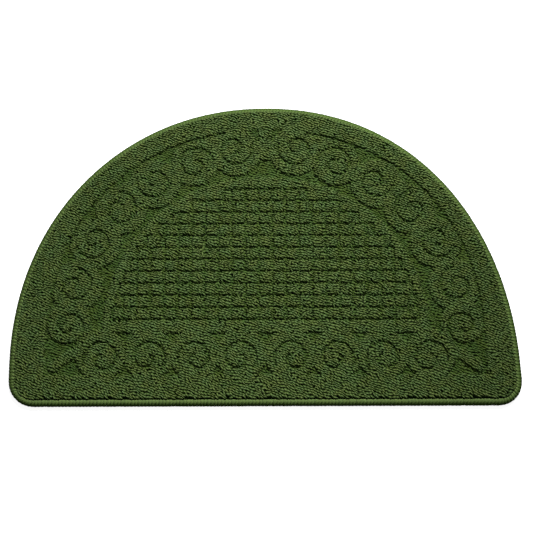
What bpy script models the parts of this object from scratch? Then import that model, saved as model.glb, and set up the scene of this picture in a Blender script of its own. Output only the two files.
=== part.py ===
"""Half-moon kitchen rug: a loop-pile mat with a carved relief, bound all round with overcast yarn.

Lengths are in metres. The drawing has x = 0 on the rug's centre line and y = 0 on its straight front
edge; the objects are then placed so that the origin is under the middle of the rug, at the floor.
The relief is one height field: the pile stands high except in the sunken areas, which are the pockets
between the scrolls, the spiral grooves inside them and the grooves between the waffle's cells.
"""
import math
from collections import namedtuple

import bmesh
import bpy
import numpy as np
from mathutils import Vector
from mathutils.geometry import delaunay_2d_cdt

# Overall size
WIDTH = 0.762
DEPTH = 0.470
CORNER_RADIUS = 0.037
LEAN = -0.0047  # how far the outline leans to one side, half way up

# Heights above the floor
PILE_HIGH = 0.0100
PILE_LOW = 0.0070
PILE_SHOULDER = 0.0090  # top of the pile where it meets the binding
TONGUE_TOP = 0.0052  # the mat's pressed edge inside the binding
TONGUE_BOTTOM = 0.0026
BINDING_HEIGHT = 0.0086

# Edge
BINDING_WIDTH = 0.0090
TONGUE_INSET = 0.0030
SHOULDER_WIDTH = 0.0030
GAP = 0.0003  # clearance between the mat and the binding
# The binding's section, from the top of its inner side round the outside to the floor
Corner = namedtuple("Corner", "inset height")
BINDING_ROLL = (
    Corner(BINDING_WIDTH, 0.0062),
    Corner(0.0084, 0.0076),
    Corner(0.0068, BINDING_HEIGHT - 0.0001),
    Corner(0.0050, BINDING_HEIGHT),
    Corner(0.0030, BINDING_HEIGHT - 0.0006),
    Corner(0.0013, 0.0069),
    Corner(0.0002, 0.0050),
    Corner(0.0000, 0.0036),
    Corner(0.0004, 0.0018),
    Corner(0.0016, 0.0005),
    Corner(0.0030, 0.0000),
    Corner(BINDING_WIDTH, 0.0000),
)
SHARP_ANGLE = math.radians(40)

# Relief
GROOVE = 0.0034  # width of a groove at half its depth
FOOT = -0.0008  # distance from a sunken area's edge to the foot of its bank
CREST = 0.0012  # and to the top of its bank
CURVE_TOLERANCE = 0.0006  # how far a relief outline may run off its curve
GRID_STEP = 0.0012
GRID_MARGIN = 0.006
LEAST_RISE = 2e-6  # no grid point lies nearer than this to the cut
TINY = 1e-9
INSIDE_ONLY = 1  # the triangulation's output type: only the triangles inside the rim

# An arch is a flattened half ellipse on straight sides, closed by a base line.
Arch = namedtuple("Arch", "half_width rise springing exponent base")
OUTLINE = Arch(WIDTH / 2, 0.4135, 0.0565, 2.10, 0.0)
BORDER = Arch(0.3295, 0.3240, 0.1100, 2.15, 0.046)
FRAME = Arch(0.2455, 0.2445, 0.1100, 2.10, 0.110)
WAFFLE = Arch(0.2335, 0.2325, 0.1100, 2.10, 0.1292)

# Waffle
CELL_PITCH_X = 0.0206
CELL_PITCH_Y = 0.0187
CELL_ROWS = 11
LEAST_CELL = 0.009  # a row's last cell is at least this wide

# One scroll of the right half: a disc of raised pile, and the spiral groove in it, given by its
# middle relative to the disc's, the way it winds, the angle at which it starts and its size.
Scroll = namedtuple("Scroll", "x y radius coil_x coil_y winding start_deg size")
SCROLLS = (
    Scroll(0.0460, 0.3970, 0.0390, 0.002, 0.003, 1, 160, 1.08),
    Scroll(0.1105, 0.3785, 0.0370, 0.000, 0.000, -1, 178, 1.08),
    Scroll(0.1730, 0.3440, 0.0395, 0.000, 0.002, -1, 14, 1.05),
    Scroll(0.2240, 0.3020, 0.0395, 0.001, 0.001, 1, 81, 1.05),
    Scroll(0.2610, 0.2490, 0.0395, 0.002, 0.001, -1, -12, 1.05),
    Scroll(0.2875, 0.1820, 0.0395, 0.002, 0.000, 1, 94, 1.03),
    Scroll(0.2960, 0.1250, 0.0330, 0.000, -0.007, -1, -49, 1.03),
    Scroll(0.2460, 0.0770, 0.0380, -0.001, -0.005, 1, -20, 1.06),
    Scroll(0.1750, 0.0770, 0.0380, 0.001, -0.004, -1, 220, 1.03),
    Scroll(0.1055, 0.0770, 0.0380, 0.000, -0.004, 1, -30, 1.02),
    Scroll(0.0365, 0.0770, 0.0380, 0.003, -0.004, -1, 215, 1.05),
)
# Radius of the groove's centre line at each quarter turn inwards, for a scroll of size 1
QUARTER_RADII = (0.0270, 0.0225, 0.0205, 0.0180, 0.0100, 0.0035)
SPIRAL_STEPS = 44
# Raised strokes: the stem at the top of the arch, bridges between the discs, and the corner leaf
Stroke = namedtuple("Stroke", "points half_width")
STROKES = (
    Stroke(((0.000, 0.436), (0.000, 0.392)), 0.010),
    Stroke(((0.078, 0.408), (0.092, 0.410)), 0.014),
    Stroke(((0.205, 0.345), (0.224, 0.332)), 0.009),
    Stroke(((0.262, 0.088), (0.292, 0.077), (0.318, 0.058)), 0.0075),
)
# The groove between border and scrolls stops short of the top scrolls, which run into the border.
EDGE_GROOVE_FROM_X = 0.062
EDGE_GROOVE_FROM_Y = 0.056
EDGE_GROOVE_INSET = 0.0015

# Points along the outline
QUARTER_ARCH_STEPS = 38
CORNER_STEPS = 7

PILE_COLOUR = (0.040, 0.066, 0.017, 1.0)
BINDING_COLOUR = (0.075, 0.115, 0.036, 1.0)


def arch_distance(x, y, arch):
    """Distance to an arch's edge, negative inside; nearly exact close to the edge."""
    above = np.maximum(y - arch.springing, 0.0)
    n = arch.exponent
    grade = ((np.abs(x) / arch.half_width) ** n + (above / arch.rise) ** n) ** (1 / n)
    radial = np.hypot(x, above) * (1 - 1 / np.maximum(grade, TINY))
    sides = np.where(y < arch.springing, np.abs(x) - arch.half_width, radial)
    return np.maximum(sides, arch.base - y)


def arch_half_width(y, arch):
    """Half width of an arch at height y above the front edge."""
    above = max(y - arch.springing, 0.0) / arch.rise
    return arch.half_width * max(1 - above**arch.exponent, 0.0) ** (1 / arch.exponent)


def stroke_distance(x, y, points):
    """Distance from each place to a line through the points."""
    nearest = np.full(np.shape(x), 1.0)
    for (ax, ay), (bx, by) in zip(points[:-1], points[1:]):
        dx, dy = bx - ax, by - ay
        along = np.clip(((x - ax) * dx + (y - ay) * dy) / (dx * dx + dy * dy), 0, 1)
        nearest = np.minimum(nearest, np.hypot(x - ax - along * dx, y - ay - along * dy))
    return nearest


def spiral_points(scroll):
    """Centre line of a scroll's groove, from its outer end to the middle."""
    quarters = np.linspace(0, len(QUARTER_RADII) - 1, SPIRAL_STEPS)
    radius = np.interp(quarters, range(len(QUARTER_RADII)), QUARTER_RADII) * scroll.size
    angle = math.radians(scroll.start_deg) + scroll.winding * quarters * math.pi / 2
    xs = scroll.x + scroll.coil_x + radius * np.cos(angle)
    ys = scroll.y + scroll.coil_y + radius * np.sin(angle)
    return list(zip(xs, ys))


def sunken_distance(x, y):
    """Distance to the sunken areas of the scroll band, negative inside them.

    The band between border and frame is sunken where no disc or stroke covers it. The grooves are
    cut into what stands.
    """
    x = np.abs(x)
    border = arch_distance(x, y, BORDER)
    band = np.maximum(border, -arch_distance(x, y, FRAME))
    cover = np.full(np.shape(x), 1.0)
    grooves = cover
    for scroll in SCROLLS:
        cover = np.minimum(cover, np.hypot(x - scroll.x, y - scroll.y) - scroll.radius)
        grooves = np.minimum(grooves, stroke_distance(x, y, spiral_points(scroll)))
    for stroke in STROKES:
        cover = np.minimum(cover, stroke_distance(x, y, stroke.points) - stroke.half_width)
    beside_border = np.abs(border + EDGE_GROOVE_INSET)
    runs = (x > EDGE_GROOVE_FROM_X) & (y > EDGE_GROOVE_FROM_Y)
    grooves = np.where(runs, np.minimum(grooves, beside_border), grooves)
    return np.minimum(np.maximum(band, -cover), grooves - GROOVE / 2)


def walk_loops(edges):
    """Orders mesh edges, two of which meet at each vertex, into closed loops of (x, y) places."""
    waiting = dict.fromkeys(edges)
    loops = []
    while waiting:
        edge = next(iter(waiting))
        vert = first = edge.verts[0]
        places = []
        while edge:
            del waiting[edge]
            places.append((vert.co.x, vert.co.y))
            vert = edge.other_vert(vert)
            edge = next((e for e in vert.link_edges if e in waiting), None)
        if vert == first:
            loops.append(places)
    return loops


def thinned(points, tolerance):
    """Keeps only the points that an open line needs to stay within the tolerance."""
    start, end = Vector(points[0]), Vector(points[-1])
    chord = end - start
    worst, index = 0.0, 0
    for i, point in enumerate(points[1:-1], 1):
        offset = Vector(point) - start
        off = abs(chord.cross(offset)) / chord.length if chord.length > TINY else offset.length
        if off > worst:
            worst, index = off, i
    if worst <= tolerance:
        return [points[0], points[-1]]
    return thinned(points[: index + 1], tolerance)[:-1] + thinned(points[index:], tolerance)


def thinned_loop(loop):
    """Thins a closed loop, cut at its two ends along x."""
    left = min(range(len(loop)), key=lambda i: loop[i])
    loop = loop[left:] + loop[:left]
    right = max(range(len(loop)), key=lambda i: loop[i])
    there = thinned(loop[: right + 1], CURVE_TOLERANCE)
    back = thinned(loop[right:] + loop[:1], CURVE_TOLERANCE)
    return there[:-1] + back[:-1]


def level_loops(level):
    """Outlines at which the distance to the sunken areas equals the level.

    A fine grid is lifted to the distance at each of its points, and cut level.
    """
    reach = BORDER.half_width + GRID_MARGIN
    front = BORDER.base - GRID_MARGIN
    depth = BORDER.springing + BORDER.rise + GRID_MARGIN - front
    bm = bmesh.new()
    bmesh.ops.create_grid(
        bm, x_segments=int(2 * reach / GRID_STEP), y_segments=int(depth / GRID_STEP), size=1.0
    )
    bmesh.ops.triangulate(bm, faces=bm.faces)
    places = np.array([v.co for v in bm.verts])
    places[:, 0] *= reach
    places[:, 1] = front + (places[:, 1] + 1) / 2 * depth
    above = sunken_distance(places[:, 0], places[:, 1]) - level
    places[:, 2] = np.where(np.abs(above) < LEAST_RISE, LEAST_RISE, above)
    for vert, place in zip(bm.verts, places):
        vert.co = place
    cut = bmesh.ops.bisect_plane(
        bm,
        geom=[*bm.verts, *bm.edges, *bm.faces],
        dist=TINY,
        plane_co=(0, 0, 0),
        plane_no=(0, 0, 1),
    )
    edges = [e for e in cut["geom_cut"] if isinstance(e, bmesh.types.BMEdge)]
    loops = [thinned_loop(loop) for loop in walk_loops(edges)]
    bm.free()
    return [loop for loop in loops if len(loop) > 2]


def row_levels():
    """Heights of the waffle's horizontal grooves, from the front."""
    return [WAFFLE.base + CELL_PITCH_Y * row for row in range(CELL_ROWS + 1)]


def row_ends():
    """Half width of each row of cells, where it meets the frame."""
    return [arch_half_width(y, WAFFLE) for y in row_levels()[1:]]


def waffle_field(bank):
    """Outline of the sunken field under the cells, moved out by the bank's offset."""
    half = GROOVE / 2 + bank
    levels, ends = row_levels(), row_ends()
    side = [(ends[0] + half, levels[0] - half)]
    for row in range(1, CELL_ROWS):
        side.append((ends[row - 1] + half, levels[row] + half))
        side.append((ends[row] + half, levels[row] + half))
    side.append((ends[-1] + half, levels[-1] + half))
    return side + [(-x, y) for x, y in reversed(side)]


def waffle_cells(bank):
    """Outlines of the raised cells, drawn in by the bank's offset."""
    inset = GROOVE / 2 + bank
    levels, cells = row_levels(), []
    for row, end in enumerate(row_ends()):
        count = math.ceil((end - CELL_PITCH_X / 2 - LEAST_CELL) / CELL_PITCH_X)
        edges = [CELL_PITCH_X * (i + 0.5) for i in range(count)] + [end]
        edges = [-x for x in reversed(edges)] + edges
        low, high = levels[row] + inset, levels[row + 1] - inset
        for left, right in zip(edges[:-1], edges[1:]):
            left, right = left + inset, right - inset
            cells.append([(left, low), (right, low), (right, high), (left, high)])
    return cells


def outline_points():
    """The rug's edge, anticlockwise from the right end of the straight front."""
    points = []
    for side in (1, -1):
        half = []
        for step in range(CORNER_STEPS + 1):
            turn = math.pi / 2 * step / CORNER_STEPS
            x = OUTLINE.half_width - CORNER_RADIUS * (1 - math.sin(turn))
            half.append((x, CORNER_RADIUS * (1 - math.cos(turn))))
        for step in range(QUARTER_ARCH_STEPS + 1):
            turn = math.pi / 2 * step / QUARTER_ARCH_STEPS
            power = 2 / OUTLINE.exponent
            x = OUTLINE.half_width * max(math.cos(turn), 0.0) ** power
            half.append((x, OUTLINE.springing + OUTLINE.rise * math.sin(turn) ** power))
        half = [(side * x, y) for x, y in half]
        points += half if side > 0 else half[-2::-1]
    return [Vector((x + LEAN * math.sin(math.pi * y / DEPTH), y)) for x, y in points]


def inset_outline(distance):
    """The rug's edge moved inwards by a distance."""
    points = outline_points()
    moved = []
    for i, point in enumerate(points):
        along = (points[(i + 1) % len(points)] - points[i - 1]).normalized()
        moved.append(point + Vector((-along.y, along.x)) * distance)
    return moved


def add_loop(places, links, loop, height):
    """Adds a closed outline at one height to the surface's points and edges."""
    first = len(places)
    places += [(x, y, height) for x, y in loop]
    count = len(places) - first
    links += [(first + i, first + (i + 1) % count) for i in range(count)]


def pile_surface(rim):
    """The pile's top inside the rim: its points, its triangles, and the points along the rim.

    Two outlines of each sunken area, the foot and the crest of its bank, hold the surface's heights.
    """
    places, links = [], []
    add_loop(places, links, rim, PILE_SHOULDER)
    add_loop(places, links, inset_outline(BINDING_WIDTH + GAP + SHOULDER_WIDTH), PILE_HIGH)
    for bank, height in ((FOOT, PILE_LOW), (CREST, PILE_HIGH)):
        for loop in level_loops(bank):
            add_loop(places, links, loop, height)
        add_loop(places, links, waffle_field(bank), height)
        for cell in waffle_cells(bank):
            add_loop(places, links, cell, height)
    flat = [Vector(place[:2]) for place in places]
    outer = [list(range(len(rim)))]
    verts, _, faces, origins, _, _ = delaunay_2d_cdt(flat, links, outer, INSIDE_ONLY, TINY)
    heights = [places[origin[0]][2] if origin else PILE_LOW for origin in origins]
    found = {before: now for now, origin in enumerate(origins) for before in origin}
    points = [(v.x, v.y, z) for v, z in zip(verts, heights)]
    return points, faces, [found[i] for i in range(len(rim))]


def new_object(name, bm, colour, roughness):
    """Turns a bmesh into a named object with one plain material."""
    bmesh.ops.recalc_face_normals(bm, faces=bm.faces)
    mesh = bpy.data.meshes.new(name)
    bm.to_mesh(mesh)
    bm.free()
    material = bpy.data.materials.new(name)
    material.use_nodes = True
    shader = material.node_tree.nodes["Principled BSDF"]
    shader.inputs["Base Color"].default_value = colour
    shader.inputs["Roughness"].default_value = roughness
    shader.inputs["Metallic"].default_value = 0.0
    mesh.materials.append(material)
    obj = bpy.data.objects.new(name, mesh)
    obj.location = (-centre_line(), -DEPTH / 2, 0.0)
    bpy.context.scene.collection.objects.link(obj)
    return obj


def centre_line():
    """Where the middle of the leaning outline lies in the drawing."""
    xs = [point.x for point in outline_points()]
    return (min(xs) + max(xs)) / 2


def build_pile_mat():
    """The tufted mat: carved pile on top, a flat underside and a pressed tongue round its edge."""
    rim = inset_outline(BINDING_WIDTH + GAP)
    tongue = inset_outline(TONGUE_INSET)
    places, faces, along_rim = pile_surface(rim)
    bm = bmesh.new()
    verts = [bm.verts.new(place) for place in places]
    for face in faces:
        bm.faces.new([verts[i] for i in face])
    above = [verts[i] for i in along_rim]
    profile = (
        (rim, TONGUE_TOP),
        (tongue, TONGUE_TOP),
        (tongue, TONGUE_BOTTOM),
        (rim, TONGUE_BOTTOM),
        (rim, 0.0),
    )
    for line, height in profile:
        below = [bm.verts.new((p.x, p.y, height)) for p in line]
        for i in range(len(rim)):
            j = (i + 1) % len(rim)
            bm.faces.new((above[i], above[j], below[j], below[i]))
        above = below
    bm.faces.new(above)
    new_object("pile_mat", bm, PILE_COLOUR, 0.95)


def binding_section():
    """The binding's closed section: the roll, then the slot that holds the mat's tongue."""
    jaw_top, jaw_bottom = TONGUE_TOP + GAP, TONGUE_BOTTOM - GAP
    throat = TONGUE_INSET - GAP
    slot = (
        Corner(BINDING_WIDTH, jaw_bottom),
        Corner(throat, jaw_bottom),
        Corner(throat, jaw_top),
        Corner(BINDING_WIDTH, jaw_top),
    )
    return BINDING_ROLL + slot


def build_edge_binding():
    """The overcast yarn, one closed ring gripping the mat's tongue."""
    bm = bmesh.new()
    rings = []
    for corner in binding_section():
        line = inset_outline(corner.inset)
        rings.append([bm.verts.new((p.x, p.y, corner.height)) for p in line])
    for ring, after in zip(rings, rings[1:] + rings[:1]):
        for i in range(len(ring)):
            j = (i + 1) % len(ring)
            bm.faces.new((ring[i], ring[j], after[j], after[i]))
    binding = new_object("edge_binding", bm, BINDING_COLOUR, 0.85)
    binding.data.shade_smooth()
    binding.data.set_sharp_from_angle(angle=SHARP_ANGLE)


def main():
    """Builds the rug's two pieces in an emptied scene."""
    for obj in list(bpy.data.objects):
        bpy.data.objects.remove(obj)
    build_pile_mat()
    build_edge_binding()


main()
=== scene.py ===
"""Dresses the half-moon kitchen rug: loops of yarn tufted through a ground cloth, and a yarn-wound edge.

It is laid out as an add-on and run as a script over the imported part, which gives the rug's outline and
the height of its pile. Lengths are in metres, with the front edge towards -Y and the floor at z = 0.
"""

import math

import bpy
import numpy as np
from bpy.props import FloatProperty, FloatVectorProperty, IntProperty, PointerProperty
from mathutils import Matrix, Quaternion, Vector
from mathutils.bvhtree import BVHTree
from mathutils.kdtree import KDTree


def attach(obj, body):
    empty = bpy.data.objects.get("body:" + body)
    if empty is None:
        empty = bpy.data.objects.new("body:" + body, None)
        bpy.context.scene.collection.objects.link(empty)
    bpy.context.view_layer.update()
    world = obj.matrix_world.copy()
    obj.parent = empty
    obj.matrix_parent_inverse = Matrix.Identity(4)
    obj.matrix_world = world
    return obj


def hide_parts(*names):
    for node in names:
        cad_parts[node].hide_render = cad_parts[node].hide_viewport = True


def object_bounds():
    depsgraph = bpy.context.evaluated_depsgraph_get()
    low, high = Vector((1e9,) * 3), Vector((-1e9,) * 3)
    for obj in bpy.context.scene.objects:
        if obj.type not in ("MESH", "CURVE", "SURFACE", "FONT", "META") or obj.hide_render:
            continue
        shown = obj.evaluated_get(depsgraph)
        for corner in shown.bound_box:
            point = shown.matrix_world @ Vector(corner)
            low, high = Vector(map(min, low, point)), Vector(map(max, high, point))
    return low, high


bl_info = {
    "name": "Half-Moon Kitchen Rug",
    "version": (1, 0, 0),
    "blender": (4, 5, 0),
    "location": "View3D > Sidebar > Rug",
    "description": "Tufts the pile, winds the edge and lights the studio of a half-moon rug",
    "category": "Add Mesh",
}

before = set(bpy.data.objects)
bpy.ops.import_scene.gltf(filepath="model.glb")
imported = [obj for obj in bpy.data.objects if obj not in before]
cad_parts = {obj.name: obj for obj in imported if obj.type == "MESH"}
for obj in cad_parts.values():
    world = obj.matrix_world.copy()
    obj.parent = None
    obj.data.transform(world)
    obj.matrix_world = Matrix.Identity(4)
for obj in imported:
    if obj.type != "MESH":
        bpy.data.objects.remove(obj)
cad_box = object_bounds()
solid_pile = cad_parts["pile_mat"]
solid_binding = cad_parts["edge_binding"]
BODY = "root"

# The cloth
COAT_BELOW = 0.0004  # the cloth is coated up to this height
WEAVE_HEIGHT = 0.0004  # relief of the weave

# The wound edge
ROLL_WIDTH = 0.0098
ROLL_HEIGHT = 0.0086
ROLL_PROUD = 0.0008  # how far the middle of the roll's outer side stands past the solid edge
ROLL_LEAN = 0.46  # the roll's top leans in over the pile and its foot out, by this share of the height
OUTER_SHADE_REACH = 0.85  # painted shade: the roll is darker from its outer side, which faces away from the lamp and down to the floor, up to this share of its width
OUTER_SHADE_DEPTH = 0.20  # what the painted shade leaves of the yarn's lightness on the outer side
OUTER_SHADE_FADE = 1.25  # above 1, the painted shade on the roll stays darker for longer on the way in
TURN_FACES = (12, 6)  # faces round the roll and round its yarn
TURN_SLIPS = 0.03  # how unevenly the turns are spaced, as a share of their pitch
TURN_SHADES = 0.12  # how much the turns differ in shade
TURN_CLEARS = 0.00005  # room between the turns and the floor
EDGE_DARKEST = 0.72  # the darkest turns, as a share of the edge yarn's colour
WINDING_SEED = 29  # start of the random numbers that make the turns differ
WIDEST_AT = 0.0036  # height at which the solid edge reaches furthest out
SAME_HEIGHT = 2e-5  # points of the solid this close to that height lie on the edge line

# The pile
PILE_PIECES = 5  # the pile is split from left to right, so no mesh is too heavy
CARVED_FROM, CARVED_TO = 0.0060, 0.0085  # the solid pile is carved where its top lies between these heights
CARVING_MOVE = (-0.0003, -0.0009)  # the carved lines lie this far off those of the solid
HIGH_LOOPS, LOW_LOOPS = 0.0098, 0.0066  # a loop reaches one of these heights
FOOT_SUNK = 0.0003  # the loops start this far inside the cloth
RIM_ROOM = -0.0004  # room between the pile and the wound edge: below 0, the loops press into it
COMBED_BACK = 0.0014  # the pile leans back, which adds this room at the front and takes it at the back
WIDTH_INSIDE, LENGTH_OUTSIDE = 0.25, 0.35  # shares of a loop that decide whether it is kept at the rim
ROW_CURVE = 0.2  # the rows fall faster to both sides, by this times the cube of the distance
ROW_WAVES = 14  # waves that together bend the rows
WAVE_LENGTHS = ((0.016, 0.045), (0.016, 0.050))  # shortest and longest wave, along and across the rows
SLIP_WAVES, SLIP_SIZE = 0.7, 0.5  # the waves along the rows, as shares of those across them
STITCH_SLIPS, ROW_SLIPS = 0.09, 0.07  # how unevenly loops stand, as shares of stitch and row pitch
GIRTH_VARIES, LENGTH_VARIES = 0.07, 0.10  # how much the loops differ in size
LOOP_FULLNESS = 0.72  # below 1, the ends of a loop are blunter than those of a ball
RAGGED = 0.0005  # how far the carved lines stray from loop to loop
FRONT_FROM, FRONT_RAMP = -0.130, 0.050  # where the front border starts, and how far it takes to get there
LOOP_SHADES = 0.22  # how much the loops differ in shade
LOW_PAINTED_SHADE = 0.32  # painted shade: the low loops, sunk between the high ones, are painted darker by this much
LOW_SHADE_DEPTH = 0.94  # the tops of the low loops, as a share of the lightness of the high ones, which paints shade on the sunk loops

# The yarn
FIBRE_HEIGHT = 0.0009  # relief of the fibres and of the twist
HIGHLIGHT_FROM, HIGHLIGHT_STEEPNESS, HIGHLIGHT_SHARE = 0.86, 7.0, 0.70  # painted highlight: the very tops of the loops are painted paler, where they catch the lamp
FOOT_SHADE_FADE, FOOT_SHADE_SHARE = 1.6, 0.90  # painted shade at the feet of the loops, where they stand in each other's shade
FOOT_SHADE_TONE = (0.20, 0.34, 0.0)  # colour of the painted shade at the feet, as shares of the dark yarn's
COOL_TINT, WARM_TINT = (0.93, 1.01, 1.04), (1.07, 0.99, 0.88)  # the yarn's hue wanders between these

# The studio
FLOOR_DROP = 0.0002  # room between the rug and the floor
LAMP_SIZE = (0.6, 0.5)
SENSOR_WIDTH = 36.0  # in millimetres


class GroundSettings(bpy.types.PropertyGroup):
    """The cloth that the pile is tufted through."""

    height: FloatProperty(
        name="Cloth top",
        description="Height of the cloth from which the loops rise",
        default=0.0039,
        unit="LENGTH",
        precision=4,
    )
    weave: FloatProperty(
        name="Weave pitch",
        description="Distance from one thread of the cloth to the next",
        default=0.0021,
        unit="LENGTH",
        precision=4,
    )
    thread_colour: FloatVectorProperty(
        name="Cloth",
        description="Colour of the cloth between the loops",
        default=(0.012, 0.034, 0.001),
        subtype="COLOR",
    )
    backing_colour: FloatVectorProperty(
        name="Backing",
        description="Colour of the coat on the underside",
        default=(0.42, 0.39, 0.32),
        subtype="COLOR",
    )


class PileSettings(bpy.types.PropertyGroup):
    """The tufted loops."""

    row_pitch: FloatProperty(
        name="Row pitch",
        description="Distance from one row of loops to the next",
        default=0.0038,
        unit="LENGTH",
        precision=4,
    )
    stitch: FloatProperty(
        name="Stitch",
        description="Distance from one loop to the next in its row",
        default=0.0050,
        unit="LENGTH",
        precision=4,
    )
    length: FloatProperty(
        name="Loop length",
        description="Length of one loop along its row",
        default=0.0074,
        unit="LENGTH",
        precision=4,
    )
    width: FloatProperty(
        name="Loop width",
        description="Thickness of the yarn of one loop",
        default=0.0038,
        unit="LENGTH",
        precision=4,
    )
    slope: FloatProperty(
        name="Row slope",
        description="How far the rows run down to the right at the middle of the rug",
        default=math.radians(19),
        subtype="ANGLE",
    )
    wander: FloatProperty(
        name="Wander",
        description="How far the rows wave from side to side",
        default=0.0007,
        unit="LENGTH",
        precision=4,
    )
    twist: FloatProperty(
        name="Twist",
        description="How far a single loop turns out of its row",
        default=math.radians(22),
        subtype="ANGLE",
    )
    front_turn: FloatProperty(
        name="Front turn",
        description="How much further the loops of the front border turn down to the right",
        default=math.radians(11),
        subtype="ANGLE",
    )
    stray: FloatProperty(
        name="Stray",
        description="How far single loops lean over the wound edge",
        default=0.0008,
        unit="LENGTH",
        precision=4,
    )
    unevenness: FloatProperty(
        name="Unevenness",
        description="How much the loops differ in height, as a share",
        default=0.05,
        subtype="FACTOR",
        min=0,
        max=1,
    )
    seed: IntProperty(
        name="Seed",
        description="Start of the random numbers that scatter the loops",
        default=11,
    )
    light_colour: FloatVectorProperty(
        name="Light yarn",
        description="Colour of the lightest loops",
        default=(0.074, 0.119, 0.033),
        subtype="COLOR",
    )
    # Painted highlight: the very top of each high loop is painted paler, where it catches the lamp
    tip_highlight_colour: FloatVectorProperty(
        name="Tips",
        description="Colour of the very top of the high loops",
        default=(0.236, 0.308, 0.128),
        subtype="COLOR",
    )
    dark_colour: FloatVectorProperty(
        name="Dark yarn",
        description="Colour of the darkest loops",
        default=(0.040, 0.074, 0.013),
        subtype="COLOR",
    )


class BindingSettings(bpy.types.PropertyGroup):
    """The yarn wound round the edge."""

    pitch: FloatProperty(
        name="Winding pitch",
        description="Distance from one turn of the yarn to the next",
        default=0.0051,
        unit="LENGTH",
        precision=4,
    )
    thickness: FloatProperty(
        name="Yarn thickness",
        description="Thickness of the flattened yarn",
        default=0.0014,
        unit="LENGTH",
        precision=4,
    )
    spread: FloatProperty(
        name="Spread",
        description="How wide the yarn is spread before its sides are flattened, as a share of the pitch",
        default=1.22,
        subtype="FACTOR",
        min=0.5,
        max=2,
    )
    unevenness: FloatProperty(
        name="Unevenness",
        description="How much the turns differ in thickness, as a share",
        default=0.025,
        subtype="FACTOR",
        min=0,
        max=1,
    )
    colour: FloatVectorProperty(
        name="Edge yarn",
        description="Colour of the wound yarn",
        default=(0.128, 0.196, 0.057),
        subtype="COLOR",
    )


class StudioSettings(bpy.types.PropertyGroup):
    """Floor, light and camera."""

    floor_size: FloatProperty(
        name="Floor",
        description="Side of the pale floor",
        default=9.0,
        unit="LENGTH",
    )
    floor_colour: FloatVectorProperty(
        name="Floor colour",
        description="Colour of the floor",
        default=(0.90, 0.90, 0.90),
        subtype="COLOR",
    )
    floor_glow: FloatProperty(
        name="Floor glow",
        description="Light that the floor gives off itself",
        default=0.85,
    )
    lamp_at: FloatVectorProperty(
        name="Lamp",
        description="Place of the lamp, behind the rug and to its right",
        default=(0.58, 1.96, 1.60),
        subtype="TRANSLATION",
        unit="LENGTH",
    )
    lamp_to: FloatVectorProperty(
        name="Lamp aim",
        description="Point at the middle of the lamp's beam",
        default=(-0.02, 0.0, 0.0),
        subtype="TRANSLATION",
        unit="LENGTH",
    )
    lamp_power: FloatProperty(
        name="Lamp power",
        description="Power of the lamp, in watts",
        default=6.55,
        unit="POWER",
    )
    lamp_spread: FloatProperty(
        name="Lamp spread",
        description="Angle of the lamp's beam, which fades towards its side",
        default=math.radians(38),
        subtype="ANGLE",
    )
    sky: FloatProperty(
        name="Sky",
        description="Strength of the even light from all round",
        default=0.14,
    )
    camera_at: FloatVectorProperty(
        name="Camera",
        description="Place of the camera",
        default=(0.002749, -0.31710, 1.27311),
        subtype="TRANSLATION",
        unit="LENGTH",
        precision=4,
    )
    camera_to: FloatVectorProperty(
        name="Aim",
        description="Point at the middle of the picture",
        default=(0.002749, -0.02318, 0.0),
        subtype="TRANSLATION",
        unit="LENGTH",
        precision=4,
    )
    camera_roll: FloatProperty(
        name="Roll",
        description="Turn of the camera round its own axis",
        default=-0.00325,
        subtype="ANGLE",
    )
    lens: FloatProperty(
        name="Lens",
        description="Focal length on a 36 mm wide sensor, in millimetres",
        default=57.41,
        unit="CAMERA",
    )


class Value:
    """One output of a finish's nodes, so that shader maths reads as a Python expression."""

    def __init__(self, finish, socket):
        self.finish = finish
        self.socket = socket

    def maths(self, operation, *values, clamp=False):
        settings = {"operation": operation, "use_clamp": clamp}
        return self.finish.node("ShaderNodeMath", settings, dict(enumerate(values)))

    def __add__(self, other):
        return self.maths("ADD", self, other)

    def __sub__(self, other):
        return self.maths("SUBTRACT", self, other)

    def __rsub__(self, other):
        return self.maths("SUBTRACT", other, self)

    def __mul__(self, other):
        return self.maths("MULTIPLY", self, other)

    def __pow__(self, other):
        return self.maths("POWER", self, other)

    def __lt__(self, other):
        return self.maths("LESS_THAN", self, other)

    __radd__ = __add__
    __rmul__ = __mul__

    def clamped(self):
        return self.maths("ADD", self, 0.0, clamp=True)

    def sine(self):
        return self.maths("SINE", self)

    def swing(self, share):
        """How far this lies off its middle, a half, times a share."""
        return (self - 0.5) * share


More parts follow.
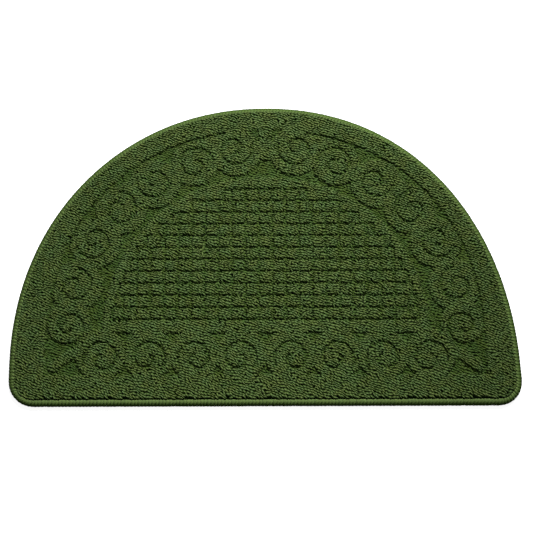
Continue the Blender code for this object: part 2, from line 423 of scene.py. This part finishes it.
class Finish:
    """A material of nodes, made by its own short recipe."""

    def __init__(self, name):
        self.material = bpy.data.materials.new(name)
        self.material.use_nodes = True
        self.tree = self.material.node_tree
        self.tree.nodes.clear()

    def node(self, kind, settings=None, sockets=None, output=0):
        """Adds a node, sets it, then fills its sockets with numbers, colours or other nodes' outputs."""
        made = self.tree.nodes.new(kind)
        for key, value in (settings or {}).items():
            setattr(made, key, value)
        for key, value in (sockets or {}).items():
            if isinstance(value, Value):
                self.tree.links.new(value.socket, made.inputs[key])
            else:
                made.inputs[key].default_value = value
        return Value(self, made.outputs[output]) if made.outputs else None

    def place(self):
        return self.node("ShaderNodeTexCoord", output="Object")

    def map(self, name):
        return self.node("ShaderNodeUVMap", {"uv_map": name})

    def part_of(self, vector, axis):
        return self.node("ShaderNodeSeparateXYZ", sockets={0: vector}, output=axis)

    def attribute(self, name):
        return self.node("ShaderNodeAttribute", {"attribute_name": name}, output="Fac")

    def noise(self, where, scale, detail=2.0, roughness=0.5):
        sockets = {"Vector": where, "Scale": scale, "Detail": detail, "Roughness": roughness}
        return self.node("ShaderNodeTexNoise", None, sockets)

    def blend(self, share, first, second, way="MIX"):
        settings = {"data_type": "RGBA", "blend_type": way}
        return self.node("ShaderNodeMix", settings, {0: share, 6: first, 7: second}, output=2)

    def bump(self, height, distance):
        return self.node("ShaderNodeBump", None, {"Height": height, "Distance": distance, "Strength": 1.0})

    def surface(self, **sockets):
        """Closes the recipe with its shader. Socket names are written with _ for a space."""
        named = {name.replace("_", " "): value for name, value in sockets.items()}
        shader = self.node("ShaderNodeBsdfPrincipled", None, named)
        self.node("ShaderNodeOutputMaterial", None, {"Surface": shader})
        return self.material


def darker(colour, share):
    return [channel * share for channel in colour]


def opaque(colour):
    return (*colour, 1.0)


def yarn_finish(name, light, dark, plies, tint_share, highlight_colour=None):
    """Bulky spun yarn: each loop has its own shade, with a twist and fine fibres. Painted shade darkens it
    towards its foot, and a painted highlight, when its colour is given, lightens its top.
    """
    finish = Finish(name)
    place = finish.place()
    along_yarn = finish.map("Yarn")
    shade = finish.attribute("loop_shade")
    depth = finish.attribute("loop_depth")
    drift = finish.noise(place, scale=22.0)
    mottle = finish.noise(place, scale=420.0, detail=1.0)
    lightness = (0.5 + shade.swing(0.75) + drift.swing(0.9) + mottle.swing(0.35)).clamped()
    colour = finish.blend(lightness, opaque(dark), opaque(light))
    # Painted highlight: the top of each loop is painted paler, as if the lamp lit it
    if highlight_colour is not None:
        highlight_mask = ((depth - HIGHLIGHT_FROM) * HIGHLIGHT_STEEPNESS).clamped()
        colour = finish.blend(highlight_mask * HIGHLIGHT_SHARE, colour, opaque(highlight_colour))
    warmth = (0.5 + finish.noise(place, scale=75.0, detail=3.0).swing(3.2)).clamped()
    tint = finish.blend(warmth, opaque(COOL_TINT), opaque(WARM_TINT))
    colour = finish.blend(tint_share, colour, tint, way="MULTIPLY")
    # Painted shade: darker towards the foot of each loop and towards the core of each turn of the wound edge,
    # where the yarn lies in the shade of its neighbours
    foot = (1.0 - depth) ** FOOT_SHADE_FADE
    foot_shade_colour = [channel * tone for channel, tone in zip(dark, FOOT_SHADE_TONE)]
    colour = finish.blend(foot * FOOT_SHADE_SHARE, colour, opaque(foot_shade_colour))
    u, v = (finish.part_of(along_yarn, axis) for axis in "XY")
    twist = ((u + v) * (plies * math.tau)).sine() * 0.5 + 0.5
    fibres = finish.noise(place, scale=1900.0, roughness=0.65)
    return finish.surface(
        Base_Color=colour,
        Roughness=0.78 + fibres * 0.2,
        Normal=finish.bump(twist * 0.6 + fibres * 0.4, FIBRE_HEIGHT),
        Specular_IOR_Level=0.0,
        Sheen_Weight=0.03,
        Sheen_Roughness=0.5,
    )


def cloth_finish(settings):
    """Woven ground cloth on top and at its edge, and a thin matt coat over it on the underside."""
    finish = Finish("ground_cloth")
    place = finish.place()
    x, y, z = (finish.part_of(place, axis) for axis in "XYZ")
    wave = math.pi / settings.weave
    threads = (x * wave).sine() * (y * wave).sine() * 0.5 + 0.5
    wear = finish.noise(place, scale=60.0, detail=3.0)
    grain = finish.noise(place, scale=900.0)
    thread = settings.thread_colour
    backing = settings.backing_colour
    woven = finish.blend((threads * 0.7 + wear * 0.3).clamped(), opaque(darker(thread, 0.6)), opaque(thread))
    worn = opaque(darker(backing, 0.78))
    coat = finish.blend((threads * 0.35 + wear * 0.75).clamped(), worn, opaque(backing))
    return finish.surface(
        Base_Color=finish.blend(z < COAT_BELOW, woven, coat),
        Roughness=0.86 + grain * 0.1,
        Normal=finish.bump(threads * 0.8 + grain * 0.2, WEAVE_HEIGHT),
        Specular_IOR_Level=0.2,
    )


def floor_finish(settings):
    """A pale floor that glows a little, which takes the shadow off it."""
    finish = Finish("studio_floor")
    tone = finish.noise(finish.place(), scale=3.0, detail=1.0)
    colour = settings.floor_colour
    return finish.surface(
        Base_Color=finish.blend(tone, opaque(colour), opaque(darker(colour, 0.985))),
        Roughness=0.9,
        Specular_IOR_Level=0.1,
        Emission_Color=(1.0, 1.0, 1.0, 1.0),
        Emission_Strength=settings.floor_glow,
    )


def clear_selection():
    if bpy.context.object and bpy.context.object.mode != "OBJECT":
        bpy.ops.object.mode_set(mode="OBJECT")
    bpy.ops.object.select_all(action="DESELECT")


def template_of(made):
    """The points, faces and map of a piece modelled once, which is then cleared away."""
    mesh = made.data
    mapped = mesh.uv_layers[0].data
    points = np.array([vertex.co[:] for vertex in mesh.vertices])
    # A new primitive has its faces in another order each run, so they are sorted
    sides = sorted(mesh.polygons, key=lambda face: tuple(face.vertices))
    faces = [tuple(face.vertices) for face in sides]
    corners = np.array([mapped[corner].uv[:] for face in sides for corner in face.loop_indices])
    bpy.data.objects.remove(made)
    bpy.data.meshes.remove(mesh)
    return points, faces, corners


def plain_run(values):
    return np.ascontiguousarray(values, dtype=np.float32).ravel()


def joined_copies(name, points, faces, corners, **painted):
    """One mesh of many copies. points is copies x corners x 3, and painted holds a number for each point."""
    copies, size = points.shape[:2]
    tiled = [tuple(np.add(face, size * copy).tolist()) for copy in range(copies) for face in faces]
    mesh = bpy.data.meshes.new(name)
    mesh.from_pydata(points.reshape(-1, 3).tolist(), [], tiled)
    across = math.ceil(math.sqrt(copies))
    cells = np.stack([np.arange(copies) % across, np.arange(copies) // across], axis=1)
    margin = 0.04  # left free round each copy's cell of the bake map
    bake = (cells[:, None, :] + margin + corners[None] * (1 - 2 * margin)) / across
    own = np.broadcast_to(corners, (copies, *corners.shape))
    for layer, values in (("OFBake", bake), ("Yarn", own)):
        mesh.uv_layers.new(name=layer).data.foreach_set("uv", plain_run(values))
    for key, values in painted.items():
        mesh.attributes.new(key, "FLOAT", "POINT").data.foreach_set("value", plain_run(values))
    mesh.polygons.foreach_set("use_smooth", [True] * len(mesh.polygons))
    mesh.update()
    made = bpy.data.objects.new(name, mesh)
    bpy.context.collection.objects.link(made)
    return made


class EdgeLine:
    """The rug's outer edge, read off the solid binding, as a closed line that is followed by distance."""

    SPREAD = 0.004  # directions are averaged over this much to either side
    MARKS = 0.001  # distance from one mark of the fence to the next

    def __init__(self):
        places = (v.co for v in solid_binding.data.vertices)
        rim = {(round(at.x, 6), round(at.y, 6)) for at in places if abs(at.z - WIDEST_AT) < SAME_HEIGHT}
        middle_y = sum(y for _, y in rim) / len(rim)
        rim = sorted(rim, key=lambda at: math.atan2(at[1] - middle_y, at[0]))
        self.points = np.array([*rim, rim[0]])
        steps = np.linalg.norm(np.diff(self.points, axis=0), axis=1)
        self.travelled = np.concatenate([[0.0], np.cumsum(steps)])
        self.length = self.travelled[-1]

    def at(self, distance):
        wrapped = np.mod(distance, self.length)
        place = [np.interp(wrapped, self.travelled, self.points[:, axis]) for axis in (0, 1)]
        return np.stack(place, axis=-1)

    def inwards(self, distance):
        run = self.at(np.add(distance, self.SPREAD)) - self.at(np.subtract(distance, self.SPREAD))
        run /= np.linalg.norm(run, axis=-1, keepdims=True)
        return np.stack([-run[..., 1], run[..., 0]], axis=-1)

    def inset(self, distance, depth):
        return self.at(distance) + self.inwards(distance) * np.asarray(depth)[..., None]

    def fence(self, depth):
        """A function that tells how far inside this inset a place lies, and the way inwards there."""
        marks = np.arange(0, self.length, self.MARKS)
        inwards = self.inwards(marks)
        line = self.inset(marks, depth(inwards))
        tree = KDTree(len(marks))
        for number, (x, y) in enumerate(line):
            tree.insert((x, y, 0.0), number)
        tree.balance()

        def measure(x, y):
            nearest = tree.find((x, y, 0.0))[1]
            return float(np.dot((x, y) - line[nearest], inwards[nearest])), inwards[nearest]

        return measure


class RUG_OT_ground_cloth(bpy.types.Operator):
    """Cuts the ground cloth: the solid mat below the loops, with its woven top and coated underside"""

    bl_idname = "rug.ground_cloth"
    bl_label = "Ground cloth"

    def execute(self, context):
        settings = context.scene.rug_ground
        clear_selection()
        cloth = bpy.data.objects.new("ground_cloth", solid_pile.data.copy())
        context.collection.objects.link(cloth)
        cloth.select_set(True)
        context.view_layer.objects.active = cloth
        bpy.ops.object.mode_set(mode="EDIT")
        bpy.ops.mesh.select_all(action="SELECT")
        bpy.ops.mesh.remove_doubles(threshold=1e-6)
        cut = (0, 0, settings.height)
        bpy.ops.mesh.bisect(plane_co=cut, plane_no=(0, 0, 1), use_fill=True, clear_outer=True)
        bpy.ops.mesh.select_all(action="SELECT")
        bpy.ops.mesh.normals_make_consistent(inside=False)
        bpy.ops.object.mode_set(mode="OBJECT")
        bpy.ops.object.shade_flat()
        cloth.data.materials.clear()
        cloth.data.materials.append(cloth_finish(settings))
        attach(cloth, BODY)
        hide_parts(solid_pile.name)
        return {"FINISHED"}


def pile_inset(inwards):
    """How far inside the edge line the pile ends. It is combed back, away from the front edge."""
    return ROLL_WIDTH - ROLL_PROUD + RIM_ROOM + COMBED_BACK * inwards[:, 1]


class RUG_OT_loop_pile(bpy.types.Operator):
    """Tufts the pile: one loop is modelled, then set along wavy rows, high or low as the solid mat is"""

    bl_idname = "rug.loop_pile"
    bl_label = "Loop pile"

    def model_loop(self):
        """One loop seen from above as a grain of yarn, from -1 to 1 along, across and up."""
        clear_selection()
        bpy.ops.mesh.primitive_uv_sphere_add(segments=6, ring_count=5, radius=1.0, location=(0, 0, 0))
        loop = bpy.context.object
        bpy.ops.object.mode_set(mode="EDIT")
        bpy.ops.mesh.select_all(action="SELECT")
        bpy.ops.transform.rotate(value=math.pi / 2, orient_axis="Y", center_override=(0, 0, 0))
        bpy.ops.transform.rotate(value=math.pi / 6, orient_axis="X", center_override=(0, 0, 0))
        bpy.ops.object.mode_set(mode="OBJECT")
        points, faces, corners = template_of(loop)
        tiny = 1e-6
        girth = np.hypot(points[:, 1], points[:, 2])
        thick = np.maximum(girth, tiny)
        fuller = np.where(girth > tiny, thick**LOOP_FULLNESS / thick, 0.0)
        points[:, 1:] *= fuller[:, None]
        return points, faces, corners[:, ::-1]

    def row_shape(self, settings, chance):
        """How the straight rows are bent: they run down to the right, more so towards the ends, and wave."""
        reach = np.stack([math.tau / chance.uniform(*lengths, ROW_WAVES) for lengths in WAVE_LENGTHS], axis=1)
        reach *= chance.choice([-1.0, 1.0], (ROW_WAVES, 2))
        phases = chance.uniform(0, math.tau, (ROW_WAVES, 2))
        size = settings.wander * math.sqrt(2 / ROW_WAVES)
        fall = math.tan(settings.slope)

        def bend(along, row):
            waves = along[..., None] * reach[:, 0] + row[..., None] * reach[:, 1]
            shift = np.sin(waves + phases[:, 0]).sum(-1) * size
            slip = np.sin(waves * SLIP_WAVES + phases[:, 1]).sum(-1) * size * SLIP_SIZE
            return along + slip, row - fall * along - ROW_CURVE * along**3 + shift

        return bend

    def stitches(self, settings, chance):
        """Places of the loops along and across straight rows, enough to cover the rug once these are bent."""
        low, high = cad_box
        drop = math.tan(settings.slope) * high.x + ROW_CURVE * high.x**3
        rows = np.arange(low.y - drop, high.y + drop, settings.row_pitch)
        steps = np.arange(low.x, high.x, settings.stitch)
        row, along = np.meshgrid(rows, steps, indexing="ij")
        along = along + chance.uniform(0, settings.stitch, len(rows))[:, None]
        along = along + chance.normal(0, STITCH_SLIPS * settings.stitch, along.shape)
        row = row + chance.normal(0, ROW_SLIPS * settings.row_pitch, row.shape)
        return along.ravel(), row.ravel()

    def carving(self):
        """A function that says whether the loops stand high at a place, read off the solid pile."""
        mesh = solid_pile.data
        solid = BVHTree.FromPolygons([v.co for v in mesh.vertices], [face.vertices for face in mesh.polygons])
        down = Vector((0, 0, -1))

        def is_high(x, y):
            above = Vector((x - CARVING_MOVE[0], y - CARVING_MOVE[1], 1.0))
            hit = solid.ray_cast(above, down)[0]
            return not hit or not CARVED_FROM <= hit.z <= CARVED_TO

        return is_high

    def execute(self, context):
        settings = context.scene.rug_pile
        ground = context.scene.rug_ground.height
        chance = np.random.default_rng(settings.seed)
        points, faces, corners = self.model_loop()
        bend = self.row_shape(settings, chance)
        along, row = self.stitches(settings, chance)

        # Only loops that stand at least in part inside the wound edge are kept
        fence = EdgeLine().fence(pile_inset)
        x, y = bend(along, row)
        clear, inwards = (np.array(found) for found in zip(*(fence(*at) for at in zip(x, y))))
        over = LENGTH_OUTSIDE * settings.length * np.abs(inwards[:, 0])
        inside = clear > WIDTH_INSIDE * settings.width - over
        along, row, y, clear = along[inside], row[inside], y[inside], clear[inside]
        count = len(along)

        # Each loop is turned and sized on its own, then bent with its row
        front = np.clip((FRONT_FROM - y) / FRONT_RAMP, 0, 1)
        twist = (chance.normal(0, settings.twist, count) - settings.front_turn * front)[:, None]
        girth = chance.normal(1, GIRTH_VARIES, count)[:, None]
        reach = points[None, :, 0] * settings.length / 2 * chance.normal(1, LENGTH_VARIES, count)[:, None]
        across = points[None, :, 1] * settings.width / 2 * girth
        x, y = bend(
            along[:, None] + reach * np.cos(twist) - across * np.sin(twist),
            row[:, None] + reach * np.sin(twist) + across * np.cos(twist),
        )

        # What would stand too far over the wound edge is pressed back to it
        stray = -np.abs(chance.normal(0, settings.stray, count))
        for copy in np.flatnonzero(clear < settings.length):
            for point in range(len(points)):
                room, inwards = fence(x[copy, point], y[copy, point])
                if room < stray[copy]:
                    x[copy, point] -= room * inwards[0]
                    y[copy, point] -= room * inwards[1]

        is_high = self.carving()
        ragged = chance.normal(0, RAGGED, (2, count, 1))
        looked_at = zip((x + ragged[0]).ravel(), (y + ragged[1]).ravel())
        high = np.array([is_high(*at) for at in looked_at]).reshape(x.shape)
        height = np.where(high, HIGH_LOOPS, LOW_LOOPS)
        up = (points[None, :, 2] + 1) / 2
        uneven = 1 - np.abs(chance.normal(0, settings.unevenness, count))[:, None]
        z = ground - FOOT_SUNK + up * (height - ground + FOOT_SUNK) * uneven
        placed = np.stack([x, y, z], axis=-1)
        own_shade = np.clip(chance.normal(0.5, LOOP_SHADES, count), 0, 1)[:, None]
        # Painted shade: the sunk low loops are painted darker than their own random shade, and their tops
        # take less painted highlight and more painted foot shade
        shade = own_shade - np.where(high, 0.0, LOW_PAINTED_SHADE)
        depth = up * np.where(high, 1.0, LOW_SHADE_DEPTH)

        light, dark, highlight_colour = settings.light_colour, settings.dark_colour, settings.tip_highlight_colour
        yarn = yarn_finish("pile_yarn", light, dark, plies=1.5, tint_share=1.0, highlight_colour=highlight_colour)
        left_to_right = np.argsort(x.mean(1))
        for number, chosen in enumerate(np.array_split(left_to_right, PILE_PIECES), 1):
            painted = {"loop_shade": shade[chosen], "loop_depth": depth[chosen]}
            piece = joined_copies(f"loop_pile_{number}", placed[chosen], faces, corners, **painted)
            piece.data.materials.append(yarn)
            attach(piece, BODY)
        return {"FINISHED"}


class RUG_OT_edge_binding(bpy.types.Operator):
    """Winds the edge: one turn of flattened yarn is modelled, then set side by side all round the rug"""

    bl_idname = "rug.edge_binding"
    bl_label = "Wound edge"

    def model_turn(self, settings, pitch):
        """One turn round the roll. Its points are given as distance along the edge, inset and height."""
        clear_selection()
        thin = settings.thickness / 2 / (ROLL_WIDTH / 2 - settings.thickness / 2)
        bpy.ops.mesh.primitive_torus_add(
            major_segments=TURN_FACES[0],
            minor_segments=TURN_FACES[1],
            major_radius=1.0,
            minor_radius=thin,
            generate_uvs=True,
            location=(0, 0, 0),
        )
        turn = bpy.context.object
        bpy.ops.object.mode_set(mode="EDIT")
        bpy.ops.mesh.select_all(action="SELECT")
        bpy.ops.transform.rotate(value=math.pi / 2, orient_axis="Y", center_override=(0, 0, 0))
        across = ROLL_WIDTH / 2 / (1 + thin)
        size = (settings.spread * pitch / 2 / thin, across, across * ROLL_HEIGHT / ROLL_WIDTH)
        bpy.ops.transform.resize(value=size, center_override=(0, 0, 0))
        bpy.ops.object.mode_set(mode="OBJECT")
        points, faces, corners = template_of(turn)

        # The yarn climbs one pitch on its way round over the top, and steps back on the inner side
        angle = np.arctan2(points[:, 2] / ROLL_HEIGHT, points[:, 1] / ROLL_WIDTH)
        way_round = np.mod(angle, math.tau) / math.tau
        facing_in = np.minimum(way_round, 1 - way_round) < 0.01
        points[:, 0] += np.where(facing_in, 0.0, 0.5 - way_round) * pitch
        points[:, 1] += points[:, 2] * ROLL_LEAN
        points[:, 1] += ROLL_WIDTH / 2 - ROLL_PROUD
        points[:, 2] += ROLL_HEIGHT / 2
        return points, faces, corners

    def execute(self, context):
        settings = context.scene.rug_binding
        chance = np.random.default_rng(WINDING_SEED)
        edge = EdgeLine()
        turns = round(edge.length / settings.pitch)
        pitch = edge.length / turns
        points, faces, corners = self.model_turn(settings, pitch)
        start = np.arange(turns) * pitch + chance.normal(0, TURN_SLIPS * pitch, turns)
        fat = 1 - np.abs(chance.normal(0, settings.unevenness, turns))[:, None]
        middle = np.array([0, ROLL_WIDTH / 2 - ROLL_PROUD, ROLL_HEIGHT / 2])
        shaped = middle + (points - middle)[None] * np.stack([np.ones_like(fat), fat, fat], axis=-1)
        placed = np.empty_like(shaped)
        placed[..., :2] = edge.inset(start[:, None] + shaped[..., 0], shaped[..., 1])
        placed[..., 2] = np.clip(shaped[..., 2], TURN_CLEARS, ROLL_HEIGHT)

        own_shade = np.clip(chance.normal(0.5, TURN_SHADES, turns), 0, 1)[:, None]
        shade = np.broadcast_to(own_shade, placed.shape[:2])
        # Painted shade: the yarn is darker towards the roll's core between the turns, and on the roll's outer
        # side, which the lamp barely reaches
        from_core = np.linalg.norm((points - middle)[:, 1:] / [ROLL_WIDTH / 2, ROLL_HEIGHT / 2], axis=1)
        inner = 1 - settings.thickness / (ROLL_WIDTH / 2)
        inward = (shaped[..., 1] + ROLL_PROUD) / ROLL_WIDTH
        outer_unshaded = OUTER_SHADE_DEPTH + (1 - OUTER_SHADE_DEPTH) * np.clip(inward / OUTER_SHADE_REACH, 0, 1) ** OUTER_SHADE_FADE
        depth = np.clip((from_core - inner) / (1 - inner), 0, 1) * outer_unshaded

        piece = joined_copies("edge_binding_yarn", placed, faces, corners, loop_shade=shade, loop_depth=depth)
        dark = darker(settings.colour, EDGE_DARKEST)
        yarn = yarn_finish("binding_yarn", settings.colour, dark, plies=3.0, tint_share=0.3)
        piece.data.materials.append(yarn)
        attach(piece, BODY)
        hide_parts(solid_binding.name)
        return {"FINISHED"}


class RUG_OT_studio(bpy.types.Operator):
    """Lays the pale floor, hangs the lamp and sets up the camera"""

    bl_idname = "rug.studio"
    bl_label = "Studio"

    def lay_floor(self, context, settings):
        clear_selection()
        bpy.ops.mesh.primitive_plane_add(size=settings.floor_size, location=(0, 0, -FLOOR_DROP))
        floor = context.object
        floor.name = floor.data.name = "studio_floor"
        bpy.ops.object.transform_apply(location=True, rotation=True, scale=True)
        floor.data.materials.append(floor_finish(settings))
        floor.visible_diffuse = False  # the floor throws no light back up at the edge

    def hang_lamp(self, context, settings):
        at, to = Vector(settings.lamp_at), Vector(settings.lamp_to)
        turn = (to - at).to_track_quat("-Z", "Y")
        bpy.ops.object.light_add(type="AREA", location=at, rotation=turn.to_euler())
        lamp = context.object
        lamp.name = lamp.data.name = "window_lamp"
        lamp.data.shape = "RECTANGLE"
        lamp.data.size, lamp.data.size_y = LAMP_SIZE
        lamp.data.spread = settings.lamp_spread
        lamp.data.energy = settings.lamp_power

    def light_sky(self, scene, settings):
        world = bpy.data.worlds.new("studio_sky")
        world.use_nodes = True
        sky = world.node_tree.nodes["Background"]
        sky.inputs["Color"].default_value = (1, 1, 1, 1)
        sky.inputs["Strength"].default_value = settings.sky
        scene.world = world
        scene.view_settings.view_transform = "Standard"
        scene.view_settings.look = "None"

    def set_camera(self, context, settings):
        at, to = Vector(settings.camera_at), Vector(settings.camera_to)
        turn = (to - at).to_track_quat("-Z", "Y") @ Quaternion((0, 0, 1), settings.camera_roll)
        bpy.ops.object.camera_add(location=at, rotation=turn.to_euler())
        camera = context.object
        camera.name = camera.data.name = "photo_camera"
        camera.data.sensor_width = SENSOR_WIDTH
        camera.data.lens = settings.lens
        context.scene.camera = camera

    def execute(self, context):
        settings = context.scene.rug_studio
        self.lay_floor(context, settings)
        self.hang_lamp(context, settings)
        self.light_sky(context.scene, settings)
        self.set_camera(context, settings)
        return {"FINISHED"}


class RUG_PT_panel(bpy.types.Panel):
    """Lists the rug's sizes, colours and pieces"""

    bl_idname = "RUG_PT_panel"
    bl_label = "Half-Moon Rug"
    bl_space_type = "VIEW_3D"
    bl_region_type = "UI"
    bl_category = "Rug"

    def draw(self, context):
        for group, _, operator in PARTS:
            box = self.layout.box()
            settings = getattr(context.scene, group)
            for name in settings.__annotations__:
                box.prop(settings, name)
            box.operator(operator.bl_idname)


PARTS = (
    ("rug_ground", GroundSettings, RUG_OT_ground_cloth),
    ("rug_pile", PileSettings, RUG_OT_loop_pile),
    ("rug_binding", BindingSettings, RUG_OT_edge_binding),
    ("rug_studio", StudioSettings, RUG_OT_studio),
)


def register():
    for name, settings, operator in PARTS:
        bpy.utils.register_class(settings)
        bpy.utils.register_class(operator)
        setattr(bpy.types.Scene, name, PointerProperty(type=settings))
    bpy.utils.register_class(RUG_PT_panel)


def unregister():
    bpy.utils.unregister_class(RUG_PT_panel)
    for name, settings, operator in reversed(PARTS):
        delattr(bpy.types.Scene, name)
        bpy.utils.unregister_class(operator)
        bpy.utils.unregister_class(settings)


def main():
    register()
    bpy.ops.rug.ground_cloth()
    bpy.ops.rug.loop_pile()
    bpy.ops.rug.edge_binding()
    bpy.ops.rug.studio()
    clear_selection()


if __name__ == "__main__":
    main()
